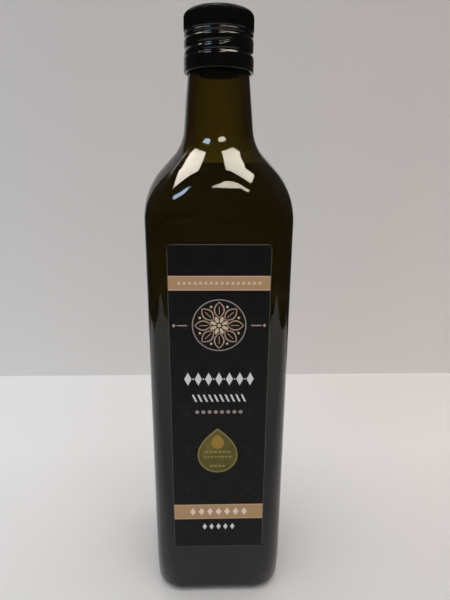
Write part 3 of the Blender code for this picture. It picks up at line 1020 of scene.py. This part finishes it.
def seal_foil():
    made, tree, shader = new_material("green_gold_foil")
    place = use_group(tree, "place_in_mm", {})
    across, up = place["Across"], place["Up"]
    marks = use_group(tree, "handling_marks", {"Smudge Scale": 140.0, "Ripple Scale": 500.0})
    colour = over(tree, marks["Smudge"], SEAL_GOLD, SEAL_SHADE)
    rim = calc(tree, "SUBTRACT", 1.0, inside(tree, drop_measure(tree, across, up, SEAL_RIM), 1.0, RIM_EDGE))
    colour = over(tree, calc(tree, "MULTIPLY", rim, RIM_STRENGTH), colour, SEAL_PALE)
    line = calc(tree, "ABSOLUTE", calc(tree, "SUBTRACT", drop_measure(tree, across, up, SEAL_LINE), 1.0))
    colour = over(tree, inside(tree, line, LINE_HALF, LINE_EDGE), colour, SEAL_SHADE)
    for row in SEAL_ROWS:
        colour = print_row(tree, colour, across, up, row)
    small_up = calc(tree, "SUBTRACT", up, SMALL_DROP_UP)
    small = inside(tree, drop_measure(tree, across, small_up, SMALL_DROP), 1.0, 0.1)
    feed(tree, shader.inputs["Base Color"], over(tree, small, colour, SEAL_WARM))
    shader.inputs["Metallic"].default_value = 0.35
    feed(tree, shader.inputs["Roughness"], spread(tree, marks["Smudge"], 0.38, 0.5))
    add_bump(tree, shader, calc(tree, "MULTIPLY_ADD", rim, 2.0, marks["Ripple"]), 0.00002)
    return made


# Stage, light and camera

# Paints, each from the start of its fade to the end. The fades of table and wall paint light, and the table's
# near paint paints shade
TABLE_LEFT_PAINT_AND_LIGHT = (tone(216, 216, 216), tone(242, 242, 242))
TABLE_RIGHT_PAINT_AND_LIGHT = (tone(207, 201, 197), tone(243, 237, 234))
TABLE_NEAR_PAINTED_SHADE = (tone(212, 211, 211), tone(195, 193, 193))
WALL_LEFT_PAINT_AND_LIGHT = (tone(229, 228, 227), tone(204, 202, 201))
WALL_RIGHT_PAINT_AND_LIGHT = (tone(229, 223, 220), tone(205, 198, 195))
DIM_ROOM = (tone(54, 52, 50), tone(60, 57, 54))
MOTTLE = tone(120, 118, 116)
MOTTLE_SHARE = 0.03


def pale_surface(name, axis, reach, left, right, roughness, one_sided=False, near=None):
    """A pale painted surface with a faint mottle. Its colours, on the left and on the right, are those at the
    start and end of the fade along one axis, and the fade paints light and shade. A one-sided surface is
    clear when seen from behind. It may have two colours of its own in front, from its front edge backwards,
    which paint shade."""
    made, tree, shader = new_material(name)
    along = fade_along(tree, axis, reach)
    across = fade_along(tree, "X", SIDE_FADE)
    paint = over(tree, across, over(tree, along, *left), over(tree, along, *right))
    # Painted shade: the table's own darker paint in front of the bottle
    if near:
        front_shade_paint = over(tree, fade_along(tree, "Y", FRONT_SHADE_FADE), *near)
        paint = over(tree, fade_along(tree, "Y", NEAR_SHADE_FADE), front_shade_paint, paint)
    cloud = noise(tree, object_place(tree), 6.0, 5.0)
    mottled = over(tree, calc(tree, "MULTIPLY", cloud, MOTTLE_SHARE), paint, MOTTLE)
    feed(tree, shader.inputs["Base Color"], mottled)
    shader.inputs["Roughness"].default_value = roughness
    if one_sided:
        clear = tree.nodes.new("ShaderNodeBsdfTransparent")
        choose = tree.nodes.new("ShaderNodeMixShader")
        behind = tree.nodes.new("ShaderNodeNewGeometry").outputs["Backfacing"]
        tree.links.new(behind, choose.inputs[0])
        tree.links.new(shader.outputs[0], choose.inputs[1])
        tree.links.new(clear.outputs[0], choose.inputs[2])
        tree.links.new(choose.outputs[0], tree.nodes["Material Output"].inputs["Surface"])
    return made


def add_sheet(name, corners, finish):
    """One flat sheet of the stage."""
    bm = bmesh.new()
    bm.faces.new([bm.verts.new(corner) for corner in corners])
    mesh = bpy.data.meshes.new(name)
    bm.to_mesh(mesh)
    bm.free()
    mesh.materials.append(finish)
    made = bpy.data.objects.new(name, mesh)
    bpy.context.scene.collection.objects.link(made)
    return made


def make_stage():
    table = pale_surface("pale_table", "Y", TABLE_LIGHT_FADE, TABLE_LEFT_PAINT_AND_LIGHT, TABLE_RIGHT_PAINT_AND_LIGHT, 0.5, near=TABLE_NEAR_PAINTED_SHADE)
    wall = pale_surface("pale_wall", "Z", WALL_FADE, WALL_LEFT_PAINT_AND_LIGHT, WALL_RIGHT_PAINT_AND_LIGHT, 0.8, one_sided=True)
    far, high = STAGE_REACH, WALL_HEIGHT
    add_sheet("stage_floor", ((-far, -far, 0), (far, -far, 0), (far, far, 0), (-far, far, 0)), table)
    upright = ((-far, WALL_Y, 0), (far, WALL_Y, 0), (far, WALL_Y, high), (-far, WALL_Y, high))
    add_sheet("stage_wall", upright, wall)


def make_dark_surround():
    """The dim room round the table, which shows only where the bottle is glossy."""
    dim = pale_surface("dim_room", "Z", WALL_FADE, DIM_ROOM, DIM_ROOM, 0.9)
    side, front, back, high = SURROUND_SIDE, SURROUND_FRONT, SURROUND_BACK, SURROUND_HEIGHT
    left_end, right_end = WALL_SEEN
    left = [(left_end, back), (-side, back), (-side, front)]
    right = [(side, front), (side, back), (right_end, back)]
    corners = left + right
    for index, (start, end) in enumerate(zip(corners, corners[1:])):
        sheet = ((*start, 0), (*end, 0), (*end, high), (*start, high))
        made = add_sheet(f"stage_surround_{index + 1}", sheet, dim)
        made.visible_camera = False
        made.visible_diffuse = False
        made.visible_transmission = False
        made.visible_shadow = False


def add_panel(name, centre, size, colour, radiance, shine):
    """A flat ceiling light that faces down. One for the shine shows in gloss only, others light the rest."""
    light = bpy.data.lights.new(name, "AREA")
    light.shape = "RECTANGLE"
    light.size, light.size_y = size
    light.color = colour
    light.energy = radiance * PANEL_WATTS * size[0] * size[1]
    made = bpy.data.objects.new(name, light)
    turn = PANEL_TURN if shine else 0
    made.matrix_world = Matrix.Translation((*centre, PANEL_HEIGHT)) @ Matrix.Rotation(turn, 4, "Z")
    made.visible_diffuse = not shine
    made.visible_glossy = shine
    made.visible_transmission = False
    made.visible_camera = False
    bpy.context.scene.collection.objects.link(made)


def make_lights():
    for name, centre, size, colour, radiance in PANELS:
        add_panel(name, centre, size, colour, radiance, True)
    for name, centre, colour in SKIES:
        add_panel(name, centre, SKY_SIZE, colour, SKY_LIGHT, False)
    world = bpy.data.worlds.new("room")
    world.use_nodes = True
    tree = world.node_tree
    background = tree.nodes["Background"]
    background.inputs["Color"].default_value = ROOM_COLOUR
    ray = tree.nodes.new("ShaderNodeLightPath")
    through = calc(tree, "SUBTRACT", 1.0, ray.outputs["Is Transmission Ray"])
    mirrored = calc(tree, "MULTIPLY", ray.outputs["Is Glossy Ray"], through)
    feed(tree, background.inputs["Strength"], spread(tree, mirrored, ROOM_LIGHT, ROOM_SEEN))
    bpy.context.scene.world = world


def make_camera():
    forward = Vector((sin(CAMERA_HEADING) * cos(CAMERA_PITCH), cos(CAMERA_HEADING) * cos(CAMERA_PITCH),
                      -sin(CAMERA_PITCH)))
    level = Vector((cos(CAMERA_HEADING), -sin(CAMERA_HEADING), 0))
    above = level.cross(forward)
    right = level * cos(CAMERA_ROLL) + above * sin(CAMERA_ROLL)
    up = above * cos(CAMERA_ROLL) - level * sin(CAMERA_ROLL)
    camera = bpy.data.cameras.new("camera")
    camera.sensor_width = SENSOR
    camera.lens = CAMERA_FOCAL / PICTURE_HEIGHT * SENSOR
    camera.clip_start = CAMERA_CLIP
    made = bpy.data.objects.new("camera", camera)
    turn = Matrix((right, up, -forward)).transposed().to_4x4()
    made.matrix_world = Matrix.Translation(CAMERA_PLACE) @ turn
    bpy.context.scene.collection.objects.link(made)
    bpy.context.scene.camera = made


for build_group in (group_place_in_mm, group_handling_marks, group_ornament_row):
    build_group()
make_bottle()
make_oil()
make_cap()
make_label_and_seal()
make_stage()
make_dark_surround()
make_lights()
make_camera()
bpy.context.scene.view_settings.view_transform = "Standard"
